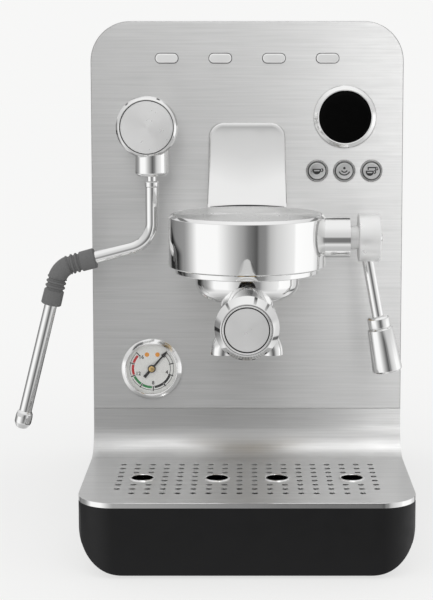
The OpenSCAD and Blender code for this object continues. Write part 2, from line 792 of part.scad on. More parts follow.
// Lid, wide enough to rest on the casing's top, with the hinge barrel along its back edge
module tank_lid() {
  lid_w = tank_w + 2 * lid_over;
  color("#232325") {
    difference() {
      translate([0, 0, lid_z0]) linear_extrude(lid_t) front_rounded(lid_w, tank_y0 - 2, lid_hinge_y, 12);
      translate([0, tank_y0 + 2, lid_z0 + 1.2]) linear_extrude(4) round_rect(46, 12, 5.5);
    }
    translate([10 - lid_w / 2, lid_hinge_y, lid_z0 + lid_t / 2]) rotate([0, 90, 0])
      cylinder(h = lid_w - 20, r = lid_hinge_r);
  }
}

// Shelf on the bay wall under the tank, with the spigot that opens the tank
module tank_seat() {
  z0 = tank_z0 - seat_t;
  color("#3c3c40") difference() {
    union() {
      translate([-tank_w / 2, bay_y0, z0]) cube([tank_w, tank_y1 - bay_y0, seat_t - 0.3]);
      translate([0, tank_mid, z0 - 6]) cylinder(h = seat_t + 10, r = 6);
    }
    translate([0, tank_mid, z0 - 10]) cylinder(h = 30, r = 2.5);
  }
}

// Vibration pump: coil body, two end plates, inlet at the back and outlet at the front
module pump() {
  color("#8a6d3b") facing(pump_x, 96, pump_z) {
    cylinder(h = 52, r = 15);
    for (h = [4, 42]) translate([-18, -20, h]) cube([36, 40, 3]);
    translate([0, 0, 52]) cylinder(h = 16, r = 6);
    translate([0, 0, -12]) cylinder(h = 12, r = 4.5);
  }
}

module pump_mounts() {
  color("#1f1f1f") for (y = [50.5, 88.5]) translate([pump_x - 13, y - 4, chassis_top])
    cube([26, 9, pump_z - 20 - chassis_top]);
}

module coffee_boiler() {
  color("#c9ccd0") translate([0, boiler_y, 192]) difference() {
    union() {
      cylinder(h = 84, r = boiler_r);
      translate([0, 0, 40]) cylinder(h = 5, r = 37);
      translate([0, 0, 84]) cylinder(h = 8, r = 9);
    }
    for (a = [0:60:300]) rotate(a) translate([33.5, 0, 30]) cylinder(h = 20, r = 1.7);
  }
}

module steam_boiler() {
  color("#c9ccd0") translate([-70, 66, 176]) {
    cylinder(h = 74, r = 24);
    translate([0, 0, 74]) cylinder(h = 6, r = 8);
  }
}

// Short copper pipe from the coffee boiler into the group's arm
module brew_pipe() {
  color("#b87333") difference() {
    facing(0, 34, 215) ring(3.4, 1.8, 20);
    translate([0, boiler_y, 200]) cylinder(h = 30, r = boiler_r);
  }
}

// Copper pipe up from the steam boiler and forward into the steam housing
module steam_pipe() {
  px = wand_x - 2;
  color("#b87333") {
    translate([px, 66, 256]) cylinder(h = 17, r = 2.8);
    translate([px, 56, 273]) rotate([90, 0, 90]) rotate_extrude(angle = 90) translate([10, 0]) circle(2.8);
    facing(px, 56, 283) cylinder(h = 48, r = 2.8);
  }
}

// Hose from the tank's seat down and forward through the bay wall to the pump
module inlet_hose() {
  turn = 12;
  color("#b8c4b0") translate([pump_x, 0, 0]) {
    translate([0, tank_mid, pump_z + turn]) cylinder(h = tank_z0 - seat_t - 6 - pump_z - turn, r = 4);
    translate([0, tank_mid - turn, pump_z + turn]) rotate([90, 0, 90]) rotate([0, 0, -90])
      rotate_extrude(angle = 90) translate([turn, 0]) circle(4);
    facing(0, tank_mid - turn, pump_z) cylinder(h = tank_mid - turn - 108, r = 4);
  }
}

// Round cord gland in the rear cover
module mains_inlet() {
  color("#1a1a1a") translate([-52, body_d, 82]) rotate([-90, 0, 0]) difference() {
    union() {
      translate([0, 0, -8]) cylinder(h = 10, r = 7);
      translate([0, 0, 2]) cylinder(h = 4, r = 10);
    }
    translate([0, 0, -10]) cylinder(h = 30, r = 3.6);
  }
}

module power_button() {
  color("#37373a") translate([52, body_d, 82]) rotate([-90, 0, 0]) rotate_extrude() polygon([
    [0, -8], [10, -8], [10, -5.4], [8, -5.4], [8, 4.4], [7.2, 5.2], [0, 5.2]
  ]);
}

base_chassis();
front_foot();
rear_feet();
front_panel();
badge_bars();
body_shell();
rear_cover();
cover_screws();
bay_wall();
cup_plate();
display_bezel();
display_glass();
button_rings();
button_one_cup();
button_steam();
button_two_cups();
control_board();
gauge_can();
gauge_bezel();
gauge_dial();
gauge_needle();
gauge_lens();
group_neck();
group_collar();
group_casting();
group_gasket();
shower_screen();
screen_screw();
portafilter_bowl();
filter_basket();
portafilter_handle();
handle_end_ring();
handle_end_disc();
twin_spout();
steam_housing();
steam_cap();
steam_disc();
wand_pipe();
wand_sleeve();
wand_tube();
wand_tip();
lever_boss();
lever_drum();
lever_screw();
lever_rod();
lever_grip();
tray_bin();
tray_cover();
water_tank();
tank_lid();
tank_seat();
pump();
pump_mounts();
coffee_boiler();
steam_boiler();
brew_pipe();
steam_pipe();
inlet_hose();
mains_inlet();
power_button();
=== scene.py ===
"""Espresso machine: the looks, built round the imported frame.

+X is to the user's right, +Y goes to the back, +Z is up. Sizes here are in millimetres
and become metres when a mesh is made.
"""
import json
import math
import bmesh
import bpy
from mathutils import Matrix, Vector


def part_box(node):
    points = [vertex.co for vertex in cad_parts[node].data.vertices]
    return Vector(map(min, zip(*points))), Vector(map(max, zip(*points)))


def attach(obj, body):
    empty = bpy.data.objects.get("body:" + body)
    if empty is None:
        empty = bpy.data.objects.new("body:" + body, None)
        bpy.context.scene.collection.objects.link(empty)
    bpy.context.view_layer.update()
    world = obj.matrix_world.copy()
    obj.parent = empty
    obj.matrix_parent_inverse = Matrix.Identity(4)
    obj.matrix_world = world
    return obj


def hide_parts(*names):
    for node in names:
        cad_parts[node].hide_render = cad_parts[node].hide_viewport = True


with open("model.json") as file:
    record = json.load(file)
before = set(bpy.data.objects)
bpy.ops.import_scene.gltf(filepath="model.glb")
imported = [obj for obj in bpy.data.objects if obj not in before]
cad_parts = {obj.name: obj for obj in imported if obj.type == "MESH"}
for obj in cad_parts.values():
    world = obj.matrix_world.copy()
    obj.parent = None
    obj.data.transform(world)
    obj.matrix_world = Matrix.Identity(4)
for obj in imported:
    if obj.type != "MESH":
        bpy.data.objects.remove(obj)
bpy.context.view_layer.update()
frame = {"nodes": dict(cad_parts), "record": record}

MM = 0.001
NODES = frame["nodes"]
BODY_OF = {n: b for b, names in frame["record"]["behaviour"]["bodies"].items() for n in names}


def box(node):
    """Lowest and highest corner of a CAD node, in millimetres."""
    low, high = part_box(node)
    return low / MM, high / MM


def centre(node):
    low, high = box(node)
    return (low + high) / 2


# ---------------------------------------------------------------- camera, floor and light

CAMERA_AT = (0.4, -1086.8, 332.5)
CAMERA_PITCH = 5.77
CAMERA_LENS = 93.31
CAMERA_SHIFT = (-0.052, -0.15)
PAPER = 0.93


def make_camera():
    camera = bpy.data.objects.new("camera", bpy.data.cameras.new("camera"))
    bpy.context.scene.collection.objects.link(camera)
    camera.location = Vector(CAMERA_AT) * MM
    camera.rotation_euler = (math.radians(90 - CAMERA_PITCH), 0, 0)
    camera.data.lens = CAMERA_LENS
    camera.data.sensor_width = 36
    camera.data.shift_x, camera.data.shift_y = CAMERA_SHIFT
    camera.data.clip_start = 0.05
    bpy.context.scene.camera = camera


def make_floor():
    bpy.ops.mesh.primitive_circle_add(vertices=96, radius=9, fill_type="NGON")
    floor = bpy.context.object
    floor.name = "floor"
    paper = bpy.data.materials.new("paper")
    paper.use_nodes = True
    shader = paper.node_tree.nodes["Principled BSDF"]
    shaded = 0.25
    shader.inputs["Base Color"].default_value = (shaded, shaded, shaded, 1)
    shader.inputs["Emission Color"].default_value = (1, 1, 0.993, 1)
    shader.inputs["Emission Strength"].default_value = PAPER - shaded
    shader.inputs["Roughness"].default_value = 1
    shader.inputs["Specular IOR Level"].default_value = 0
    floor.data.materials.append(paper)
    floor.visible_glossy = False


# How bright the light tent is by direction, seen from the machine: degrees to the right of
# straight ahead of it, and the brightness there
TENT = [
    (-180, 0.15), (-172, 0.15), (-165, 0.6), (-150, 0.6), (-147, 0.13), (-130, 0.26), (-104, 0.33),
    (-97, 0.46), (-88, 0.72), (-78, 1.1), (-44, 1.1), (-34, 0.9), (-25, 0.7), (-12, 0.46), (-5, 0.36),
    (2, 0.22), (8, 0.16), (14, 0.1), (18, 0.24), (27, 0.28), (34, 0.55), (44, 0.72), (64, 0.9),
    (72, 0.96), (76, 1.15), (112, 1.1), (125, 0.8), (165, 0.6), (172, 0.15), (180, 0.15),
]
# The same by height above the horizon, for the roof and the table: degrees, brightness, and how
# much of it shows over the sides
ROOF = [(-90, 0.5, 1), (-50, 0.6, 1), (-34, 0.9, 1), (-18, 0.6, 0), (1, 0.6, 0), (9, 0.7, 1),
        (28, 0.76, 1), (60, 0.97, 1), (90, 1.0, 1)]
# Dark gaps between the tent's panels: degrees clockwise from straight up as the user sees it,
# half the gap's width and its brightness. They open only towards the back.
GAPS = [(-103, 3.5, 0.12), (-47, 2.5, 0.25), (20, 3, 0.1), (50, 2.5, 0.3), (120, 3, 0.2)]


def ramp(tree, source, stops):
    """Grey colour ramp; a stop is (place from 0 to 1, grey)."""
    node = tree.nodes.new("ShaderNodeValToRGB")
    node.color_ramp.interpolation = "LINEAR"
    while len(node.color_ramp.elements) < len(stops):
        node.color_ramp.elements.new(0.5)
    for element, (place, grey) in zip(node.color_ramp.elements, stops):
        element.position = place
        element.color = (grey, grey, grey, 1)
    tree.links.new(source, node.inputs["Fac"])
    return node.outputs["Color"]


def make_tent():
    """World: white paper to the eye and to matt surfaces, a light tent to shiny ones."""
    world = bpy.data.worlds.new("tent")
    bpy.context.scene.world = world
    world.use_nodes = True
    world.cycles.sampling_method = "NONE"
    tree = world.node_tree
    new, link = tree.nodes.new, tree.links.new

    def maths(operation, a, b=None):
        node = new("ShaderNodeMath")
        node.operation = operation
        for slot, value in enumerate((a, b)):
            if isinstance(value, (int, float)):
                node.inputs[slot].default_value = value
            elif value is not None:
                link(value, node.inputs[slot])
        return node.outputs[0]

    def blend(share, a, b):
        node = new("ShaderNodeMix")
        node.data_type = "RGBA"
        for socket, value in ((node.inputs[0], share), (node.inputs[6], a), (node.inputs[7], b)):
            if isinstance(value, tuple):
                socket.default_value = value
            else:
                link(value, socket)
        return node.outputs[2]

    direction = new("ShaderNodeSeparateXYZ")
    link(new("ShaderNodeTexCoord").outputs["Generated"], direction.inputs[0])
    x, y, z = direction.outputs
    turn = maths("ARCTAN2", x, maths("MULTIPLY", y, -1))
    turn = maths("ADD", maths("DIVIDE", turn, 2 * math.pi), 0.5)
    height = maths("ADD", maths("DIVIDE", maths("ARCSINE", z), math.pi), 0.5)
    sides = ramp(tree, turn, [(a / 360 + 0.5, grey) for a, grey in TENT])
    roof = ramp(tree, height, [(e / 180 + 0.5, grey) for e, grey, share in ROOF])
    share = ramp(tree, height, [(e / 180 + 0.5, share) for e, grey, share in ROOF])
    tent = blend(share, sides, roof)
    clock = maths("ADD", maths("DIVIDE", maths("ARCTAN2", x, z), 2 * math.pi), 0.5)
    edges = [(a + reach, level) for a, half, grey in GAPS
             for reach, level in ((-half - 1, 1), (-half, grey), (half, grey), (half + 1, 1))]
    gaps = ramp(tree, clock, [(a / 360 + 0.5, level) for a, level in edges])
    behind = ramp(tree, y, [(0.3, 0), (0.5, 1)])
    tent = blend(behind, tent, blend(gaps, (0, 0, 0, 1), tent))
    rays = new("ShaderNodeLightPath").outputs
    plain = blend(rays["Is Diffuse Ray"], (PAPER, PAPER, PAPER * 0.995, 1), (1, 1, 1, 1))
    link(blend(rays["Is Glossy Ray"], plain, tent), tree.nodes["Background"].inputs["Color"])


def make_lamp(name, at, target, size, watts, lit):
    """Soft square lamp that lights, and is shaded by, only one piece, as if behind a flag."""
    lamp = bpy.data.objects.new(name, bpy.data.lights.new(name, "AREA"))
    bpy.context.scene.collection.objects.link(lamp)
    lamp.location = Vector(at) * MM
    lamp.rotation_euler = (Vector(target) - Vector(at)).to_track_quat("-Z", "Y").to_euler()
    lamp.data.size = size * MM
    lamp.data.energy = watts
    lamp.visible_camera = False
    flag = bpy.data.collections.new(name + "_flag")
    flag.objects.link(lit)
    lamp.light_linking.receiver_collection = flag
    lamp.light_linking.blocker_collection = flag


make_camera()
make_floor()
make_tent()
bpy.context.scene.view_settings.view_transform = "Standard"

# ---------------------------------------------------------------- finishes


class Finish:
    """A procedural material with the record's slot that it belongs to."""

    def __init__(self, slot, colour, rough, metal=0.0):
        self.slot = slot
        self.material = bpy.data.materials.new(slot + "_finish")
        self.material.use_nodes = True
        self.tree = self.material.node_tree
        self.shader = self.tree.nodes["Principled BSDF"]
        self.set(**{"Base Color": (*colour, 1), "Roughness": rough, "Metallic": metal})

    def set(self, **values):
        for name, value in values.items():
            self.shader.inputs[name].default_value = value

    def add(self, kind, **values):
        node = self.tree.nodes.new("ShaderNode" + kind)
        for name, value in values.items():
            if hasattr(node, name):
                setattr(node, name, value)
            else:
                node.inputs[name.replace("_", " ")].default_value = value
        return node

    def join(self, source, target):
        self.tree.links.new(source, target)

    def noise(self, size, detail=2.0, stretch=(1, 1, 1)):
        """Noise whose grains are about size millimetres across, times stretch along each axis."""
        mapping = self.add("Mapping")
        mapping.inputs["Scale"].default_value = [1 / (size * MM * s) for s in stretch]
        self.join(self.add("TexCoord").outputs["Object"], mapping.inputs[0])
        noise = self.add("TexNoise", Scale=1.0, Detail=detail)
        self.join(mapping.outputs[0], noise.inputs["Vector"])
        return noise.outputs["Fac"]

    def spread(self, source, low, high):
        """Turns the middle range of a noise into values from low to high."""
        ranged = self.add("MapRange")
        ranged.inputs["From Min"].default_value = 0.3
        ranged.inputs["From Max"].default_value = 0.7
        ranged.inputs["To Min"].default_value = low
        ranged.inputs["To Max"].default_value = high
        self.join(source, ranged.inputs["Value"])
        return ranged.outputs[0]

    def vary_rough(self, source, low, high):
        self.join(self.spread(source, low, high), self.shader.inputs["Roughness"])
        return self

    def vary_colour(self, source, dark, light):
        mix = self.add("Mix", data_type="RGBA")
        mix.inputs[6].default_value = (*dark, 1)
        mix.inputs[7].default_value = (*light, 1)
        self.join(self.spread(source, 0, 1), mix.inputs[0])
        self.join(mix.outputs[2], self.shader.inputs["Base Color"])
        return self

    def bump(self, source, depth):
        """Relief of about depth millimetres."""
        bump = self.add("Bump", Strength=1.0)
        bump.inputs["Distance"].default_value = depth * MM
        self.join(source, bump.inputs["Height"])
        self.join(bump.outputs[0], self.shader.inputs["Normal"])
        return self

    def grain(self, amount, axis=None):
        """Anisotropic gloss: along a piece's UV, or round an axis as a lathe leaves it."""
        if axis:
            tangent = self.add("Tangent", direction_type="RADIAL", axis=axis)
            self.set(**{"Anisotropic Rotation": 0.25})
        else:
            tangent = self.add("Tangent", direction_type="UV_MAP", uv_map="grain")
        self.join(tangent.outputs[0], self.shader.inputs["Tangent"])
        self.set(Anisotropic=amount)
        return self


def grey(value):
    return (value, value, value * 0.995)


def brushed(slot, low, high, rough, stretch):
    """Sheet steel with fine lines along X, and broader streaks that show from afar."""
    finish = Finish(slot, grey(high), rough, metal=1.0).grain(0.85)
    streaks = finish.noise(1.3, 4.0, stretch)
    finish.vary_colour(streaks, grey(low), grey(high))
    fine = finish.noise(0.35, 2.0, stretch)
    finish.vary_rough(fine, rough - 0.05, rough + 0.05)
    return finish.bump(fine, 0.004)


def turned(slot, value, rough, axis):
    """Lathe-turned steel, whose gloss follows the fine rings round the axis."""
    finish = Finish(slot, grey(value), rough, metal=1.0).grain(0.9, axis)
    wear = finish.noise(5, 3.0)
    return finish.vary_rough(wear, rough - 0.03, rough + 0.03)


def polished(slot, value, rough, tint=None):
    """Chrome or other polished metal, with faint wipe marks."""
    finish = Finish(slot, tint or grey(value), rough, metal=1.0)
    marks = finish.noise(14, 5.0)
    finish.vary_rough(marks, rough * 0.6, rough * 1.5)
    return finish.bump(finish.noise(22, 2.0), 0.01)


def moulded(slot, colour, rough, size=0.5, depth=0.02):
    """Plastic or rubber with a fine spark-eroded texture."""
    finish = Finish(slot, colour, rough)
    grains = finish.noise(size, 3.0)
    finish.vary_rough(finish.noise(9, 3.0), rough - 0.05, rough + 0.05)
    lighter = tuple(min(1, c * 1.25) for c in colour)
    finish.vary_colour(grains, colour, lighter)
    return finish.bump(grains, depth)


LONG = (45, 1, 1)
FINISHES = {f.slot: f for f in [
    brushed("brushed_panel", 0.45, 0.51, 0.4, LONG),
    brushed("tray_steel", 0.52, 0.6, 0.36, LONG),
    polished("chrome", 0.86, 0.05),
    polished("satin_chrome", 0.86, 0.24),
    turned("spun_steel", 0.8, 0.3, "Y"),
    moulded("black_plastic", (0.0032, 0.0032, 0.0036), 0.45),
    moulded("dark_plastic", (0.03, 0.03, 0.032), 0.55),
    moulded("rubber", (0.012, 0.012, 0.012), 0.75, 1.2, 0.05),
    moulded("silicone", (0.12, 0.12, 0.12), 0.55, 0.8, 0.02),
    moulded("gloss_black", (0.002, 0.002, 0.002), 0.06, 4, 0.001),
    polished("button_ring", 0.5, 0.25),
    polished("button_cap", 0.8, 0.4),
    moulded("dial_face", (0.72, 0.72, 0.7), 0.5, 0.3, 0.005),
    moulded("needle_black", (0.012, 0.012, 0.012), 0.4, 0.3, 0.003),
    polished("brass", 0.6, 0.25, (0.72, 0.5, 0.2)),
    polished("copper", 0.6, 0.22, (0.78, 0.38, 0.22)),
    polished("stainless", 0.7, 0.2),
    polished("aluminium", 0.72, 0.3),
    moulded("board_green", (0.012, 0.11, 0.045), 0.4, 2, 0.02),
    moulded("pump_body", (0.2, 0.15, 0.07), 0.45),
    moulded("hose", (0.5, 0.52, 0.48), 0.35),
    moulded("lens", (1, 1, 1), 0.03, 6, 0.001),
    moulded("tank_smoke", (0.1, 0.11, 0.12), 0.15, 6, 0.01),
]}
FINISHES["black_plastic"].set(**{"Specular IOR Level": 0.3})
FINISHES["gloss_black"].set(**{"Specular IOR Level": 0.04})
FINISHES["lens"].set(Alpha=0.02)
FINISHES["tank_smoke"].set(Alpha=0.6)


def ink(name, colour, slot="dial_face"):
    finish = moulded(name, colour, 0.5, 0.3, 0.002)
    finish.slot = slot
    return finish


INK_BLACK = ink("ink_black", (0.01, 0.01, 0.01))
INK_GREY = ink("ink_grey", (0.12, 0.12, 0.12))
INK_GREEN = ink("ink_green", (0.02, 0.22, 0.06))
INK_RED = ink("ink_red", (0.5, 0.005, 0.01))
INK_AMBER = ink("ink_amber", (0.75, 0.3, 0.03))
ICON_INK = ink("icon_ink", (0.02, 0.02, 0.02), "button_cap")


def install(piece, finish, body, *stands_for):
    """Gives a piece its finish and its body, and hides the CAD nodes that it stands for."""
    piece.data.materials.clear()
    piece.data.materials.append(finish.material)
    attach(piece, body)
    if stands_for:
        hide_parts(*stands_for)
    return piece


def replace(node, piece, finish=None):
    """Puts a piece in the place of one CAD node, by default in the node's own finish."""
    own = FINISHES[NODES[node].material_slots[0].material.name]
    return install(piece, finish or own, BODY_OF[node], node)


# ---------------------------------------------------------------- shapes


def new_piece(name, mesh, sharp=30.0):
    """Links a mesh in millimetres as an object in metres, smooth but for its sharp edges."""
    mesh.transform(Matrix.Scale(MM, 4))
    mesh.shade_smooth()
    mesh.set_sharp_from_angle(angle=math.radians(sharp))
    piece = bpy.data.objects.new(name, mesh)
    bpy.context.scene.collection.objects.link(piece)
    return piece


def mesh_of(name, points, faces):
    mesh = bpy.data.meshes.new(name)
    mesh.from_pydata(points, [], faces)
    tidy = bmesh.new()
    tidy.from_mesh(mesh)
    bmesh.ops.remove_doubles(tidy, verts=tidy.verts, dist=1e-5)
    bmesh.ops.recalc_face_normals(tidy, faces=tidy.faces)
    tidy.to_mesh(mesh)
    tidy.free()
    return mesh


def rounded(points, steps=4):
    """Rounds the corners of an open outline. A point is (x, y) or (x, y, corner radius)."""
    out = [Vector(points[0][:2])]
    for before, here, after in zip(points, points[1:], points[2:]):
        p = Vector(here[:2])
        a = Vector(before[:2]) - p
        b = Vector(after[:2]) - p
        radius = here[2] if len(here) > 2 else 0
        half = a.angle(b) / 2 if radius else 0
        if not radius or half > math.radians(89):
            out.append(p)
            continue
        reach = min(radius / math.tan(half), a.length * 0.48, b.length * 0.48)
        radius = reach * math.tan(half)
        middle = p + (a.normalized() + b.normalized()).normalized() * radius / math.sin(half)
        start = p + a.normalized() * reach - middle
        turn = math.pi - 2 * half
        sign = 1 if a.x * b.y - a.y * b.x < 0 else -1
        for k in range(steps + 1):
            out.append(middle + Matrix.Rotation(sign * turn * k / steps, 2) @ start)
    out.append(Vector(points[-1][:2]))
    return out


def lathe(name, profile, place, segments=128):
    """A profile of (radius, height) points turned round the Z axis of place."""
    outline = rounded(profile)
    points, faces = [], []
    for radius, height in outline:
        for k in range(segments):
            angle = 2 * math.pi * k / segments
            points.append(place @ Vector((radius * math.cos(angle), radius * math.sin(angle), height)))
    for row in range(len(outline) - 1):
        for k in range(segments):
            a, b = row * segments + k, row * segments + (k + 1) % segments
            faces.append((a, b, b + segments, a + segments))
    return new_piece(name, mesh_of(name, points, faces))


def upward(x, y):
    """Place on the floor plane whose Z axis points up."""
    return Matrix.Translation((x, y, 0))


def facing(x, y, z):
    """Place whose Z axis points at the user."""
    return Matrix.Translation((x, y, z)) @ Matrix.Rotation(math.radians(90), 4, "X")


def sideways(x, y, z):
    """Place whose Z axis points to the right."""
    return Matrix.Translation((x, y, z)) @ Matrix.Rotation(math.radians(90), 4, "Y")


def arc(x, y, radius, start, end, steps=16):
    """Points on an arc in a drawing, angles in degrees from its X axis."""
    turns = [math.radians(start + (end - start) * k / steps) for k in range(steps + 1)]
    return [(x + radius * math.cos(t), y + radius * math.sin(t)) for t in turns]


def circle(x, y, radius, steps=64):
    return arc(x, y, radius, 0, 360, steps)[:-1]


def round_box(x, y, width, height, radius, steps=8):
    """Outline of a rectangle with round corners about its centre."""
    dx, dy = width / 2 - radius, height / 2 - radius
    corners = ((dx, dy, 0), (-dx, dy, 90), (-dx, -dy, 180), (dx, -dy, 270))
    return [p for cx, cy, a in corners for p in arc(x + cx, y + cy, radius, a, a + 90, steps)]


def arch(x0, x1, z0, z1, radius):
    """Outline with round top corners."""
    return [(x0, z0), (x1, z0), *arc(x1 - radius, z1 - radius, radius, 0, 90, 24),
            *arc(x0 + radius, z1 - radius, radius, 90, 180, 24)]


def band(x, y, radius, width, start, end):
    """Outline of a curved stroke."""
    outer = arc(x, y, radius + width / 2, start, end)
    inner = arc(x, y, radius - width / 2, end, start)
    return outer + inner


def plate(name, loops, thickness, place, edge=0.0, steps=2):
    """Flat sheet from closed outlines; an outline inside another is a hole. Its back lies on place."""
    curve = bpy.data.curves.new(name, "CURVE")
    curve.dimensions = "2D"
    curve.fill_mode = "BOTH"
    curve.extrude = thickness / 2 - edge
    curve.bevel_depth = edge
    curve.bevel_resolution = steps
    curve.offset = -edge
    for loop in loops:
        spline = curve.splines.new("POLY")
        spline.points.add(len(loop) - 1)
        spline.use_cyclic_u = True
        for point, (x, y) in zip(spline.points, loop):
            point.co = (x, y, 0, 1)
    return even(solid_from_curve(name, curve, place @ Matrix.Translation((0, 0, thickness / 2))))


def even(piece):
    """Keeps large flat faces evenly lit where their soft edges meet them."""
    piece.modifiers.new("even", "WEIGHTED_NORMAL").keep_sharp = True
    graph = bpy.context.evaluated_depsgraph_get()
    before = piece.data
    piece.data = bpy.data.meshes.new_from_object(piece.evaluated_get(graph))
    piece.data.name = before.name
    piece.modifiers.clear()
    bpy.data.meshes.remove(before)
    return piece


def solid_from_curve(name, curve, place):
    """Mesh piece from a curve or a text, which is then removed."""
    shape = bpy.data.objects.new(name + "_curve", curve)
    bpy.context.scene.collection.objects.link(shape)
    graph = bpy.context.evaluated_depsgraph_get()
    mesh = bpy.data.meshes.new_from_object(shape.evaluated_get(graph))
    bpy.data.objects.remove(shape)
    mesh.name = name
    mesh.transform(place)
    tidy = bmesh.new()
    tidy.from_mesh(mesh)
    bmesh.ops.remove_doubles(tidy, verts=tidy.verts, dist=1e-4)
    tidy.to_mesh(mesh)
    tidy.free()
    return new_piece(name, mesh)


def softened(node, width, segments=2, limit=40.0):
    """Copy of a CAD node with its edges of more than limit degrees rounded."""
    mesh = NODES[node].data.copy()
    mesh.name = node + "_soft"
    if "custom_normal" in mesh.attributes:
        mesh.attributes.remove(mesh.attributes["custom_normal"])
    tidy = bmesh.new()
    tidy.from_mesh(mesh)
    bmesh.ops.remove_doubles(tidy, verts=tidy.verts, dist=1e-6)
    bmesh.ops.dissolve_limit(tidy, angle_limit=math.radians(0.5), verts=tidy.verts, edges=tidy.edges)
    edges = [e for e in tidy.edges if len(e.link_faces) == 2 and e.calc_face_angle() > math.radians(limit)]
    bmesh.ops.bevel(tidy, geom=edges, offset=width * MM, segments=segments, profile=0.6,
                    affect="EDGES", clamp_overlap=True)
    bmesh.ops.triangulate(tidy, faces=[f for f in tidy.faces if len(f.verts) > 4])
    tidy.to_mesh(mesh)
    tidy.free()
    mesh.transform(Matrix.Scale(1 / MM, 4))
    return new_piece(node + "_soft", mesh)


def grain_along_x(piece):
    """UV whose U runs across the brushing: up the panel, and back along the tray."""
    uv = piece.data.uv_layers.new(name="grain")
    for loop in piece.data.loops:
        x, y, z = piece.data.vertices[loop.vertex_index].co
        uv.data[loop.index].uv = (y + z, x)
    return piece


def merge(name, parts):
    """Joins pieces into one mesh."""
    whole = bmesh.new()
    for part in parts:
        whole.from_mesh(part.data)
        bpy.data.objects.remove(part)
    mesh = bpy.data.meshes.new(name)
    whole.to_mesh(mesh)
    whole.free()
    piece = bpy.data.objects.new(name, mesh)
    bpy.context.scene.collection.objects.link(piece)
    return piece


def sweep(name, path, radius_at, sides=40):
    """Tube along a flat path in the XZ plane; radius_at gives the radius at a distance along it."""
    points, faces, along = [], [], 0.0
    for k, p in enumerate(path):
        before, after = path[max(k - 1, 0)], path[min(k + 1, len(path) - 1)]
        ahead = (after - before).normalized()
        side = ahead.cross(Vector((0, 1, 0)))
        along += (p - before).length
        for s in range(sides):
            a = 2 * math.pi * s / sides
            out = side * math.cos(a) + Vector((0, 1, 0)) * math.sin(a)
            points.append(p + out * radius_at(along))
    for k in range(len(path) - 1):
        for s in range(sides):
            a, b = k * sides + s, k * sides + (s + 1) % sides
            faces.append((a, b, b + sides, a + sides))
    faces.append(tuple(range(sides)))
    faces.append(tuple(range(len(points) - sides, len(points))))
    return new_piece(name, mesh_of(name, points, faces))


# ---------------------------------------------------------------- front panel and badge

panel_low, panel_high = box("front_panel")
PANEL_R = 28
PANEL_T = panel_high.y - panel_low.y
DISPLAY = centre("display_bezel")
GAUGE = centre("gauge_bezel")
GROUP_Y = centre("group_collar").y
BUTTONS = [("button_one_cup", -1), ("button_steam", 0), ("button_two_cups", 1)]
WAND = Vector((-64.6, -38, 242))
STEAM_ARM_X = WAND.x - 2


def make_front_panel():
    cap = centre("steam_cap")
    display_r, gauge_r, button_r, steam_arm_r = 20.6, 20.2, 7.2, 12.2
    brew_arm_z, brew_arm_w, brew_arm_h = 209, 40.4, 26.4
    holes = [circle(DISPLAY.x, DISPLAY.z, display_r), circle(GAUGE.x, GAUGE.z, gauge_r)]
    holes += [circle(centre(n).x, centre(n).z, button_r, 40) for n, i in BUTTONS]
    holes += [circle(STEAM_ARM_X, cap.z, steam_arm_r)]
    holes += [round_box(0, brew_arm_z, brew_arm_w, brew_arm_h, 0.4, 1)]
    outline = arch(panel_low.x, panel_high.x, panel_low.z, panel_high.z, PANEL_R)
    panel = plate("front_panel_steel", [outline, *holes], PANEL_T, facing(0, PANEL_T, 0), 0.7, 3)
    replace("front_panel", grain_along_x(panel))


def make_badge_bars():
    """Four raised bars, each on a thin dark pad that shows round it."""
    low, high = box("badge_bars")
    bar_w, bar_h, corner, margin = 15.5, high.z - low.z, 3, 0.9
    pitch = (high.x - low.x - bar_w) / 3
    middle = (low.z + high.z) / 2
    places = [(i - 1.5) * pitch for i in range(4)]
    bars = [round_box(x, middle, bar_w, bar_h, corner) for x in places]
    satin = polished("chrome", 0.96, 0.2)
    satin.set(Metallic=0.4)
    replace("badge_bars", plate("badge_bars_polished", bars, high.y - low.y, facing(0, 0, 0), 0.7, 4), satin)
    pads = [round_box(x, middle, bar_w + margin, bar_h + margin, 3.4) for x in places]
    install(plate("badge_pads", pads, 0.35, facing(0, 0, 0), 0.1, 1), FINISHES["dark_plastic"], "root")


# ---------------------------------------------------------------- display and buttons


def make_display():
    place = facing(DISPLAY.x, 0, DISPLAY.z)
    ring = polished("chrome", 0.9, 0.12)
    replace("display_bezel", lathe("display_bezel_polished", [
        (18.7, -11), (20.3, -11), (20.3, 0), (22, 0), (22, 1.2, 0.5), (21.3, 1.9, 0.3), (18.9, 4, 0.3),
        (18.3, 3.5, 0.2), (18.2, 2.0), (18.7, -11)], place, 160), ring)
    replace("display_glass", lathe("display_glass_domed", [
        (0, 2.6), (9, 2.5), (15, 2.3), (16.9, 2.15), (17.8, 1.9, 0.3), (18.2, 1.5), (18.2, 0.4), (0, 0.4)],
        place, 128))


def bowl(x, rim, width):
    """Closed outline of a cup's bowl, its rim a straight line on top."""
    half = width / 2
    return [(x - half, rim), (x - half, rim - 0.5), *arc(x, rim - 0.3 * half, half, 190, 350, 20),
            (x + half, rim - 0.5), (x + half, rim)]


def cup(x, rim, width):
    """Outlines of a cup with coffee in it, and its handle."""
    stroke = 0.75
    half = width / 2
    inside = [(x - 0.7 * half, rim - stroke), (x - 0.6 * half, rim - 1.7), (x + 0.6 * half, rim - 1.7),
              (x + 0.7 * half, rim - stroke)]
    handle = band(x + half + 0.25, rim - 0.95, 1.0, stroke, -100, 88)
    return [bowl(x, rim, width), inside, handle]


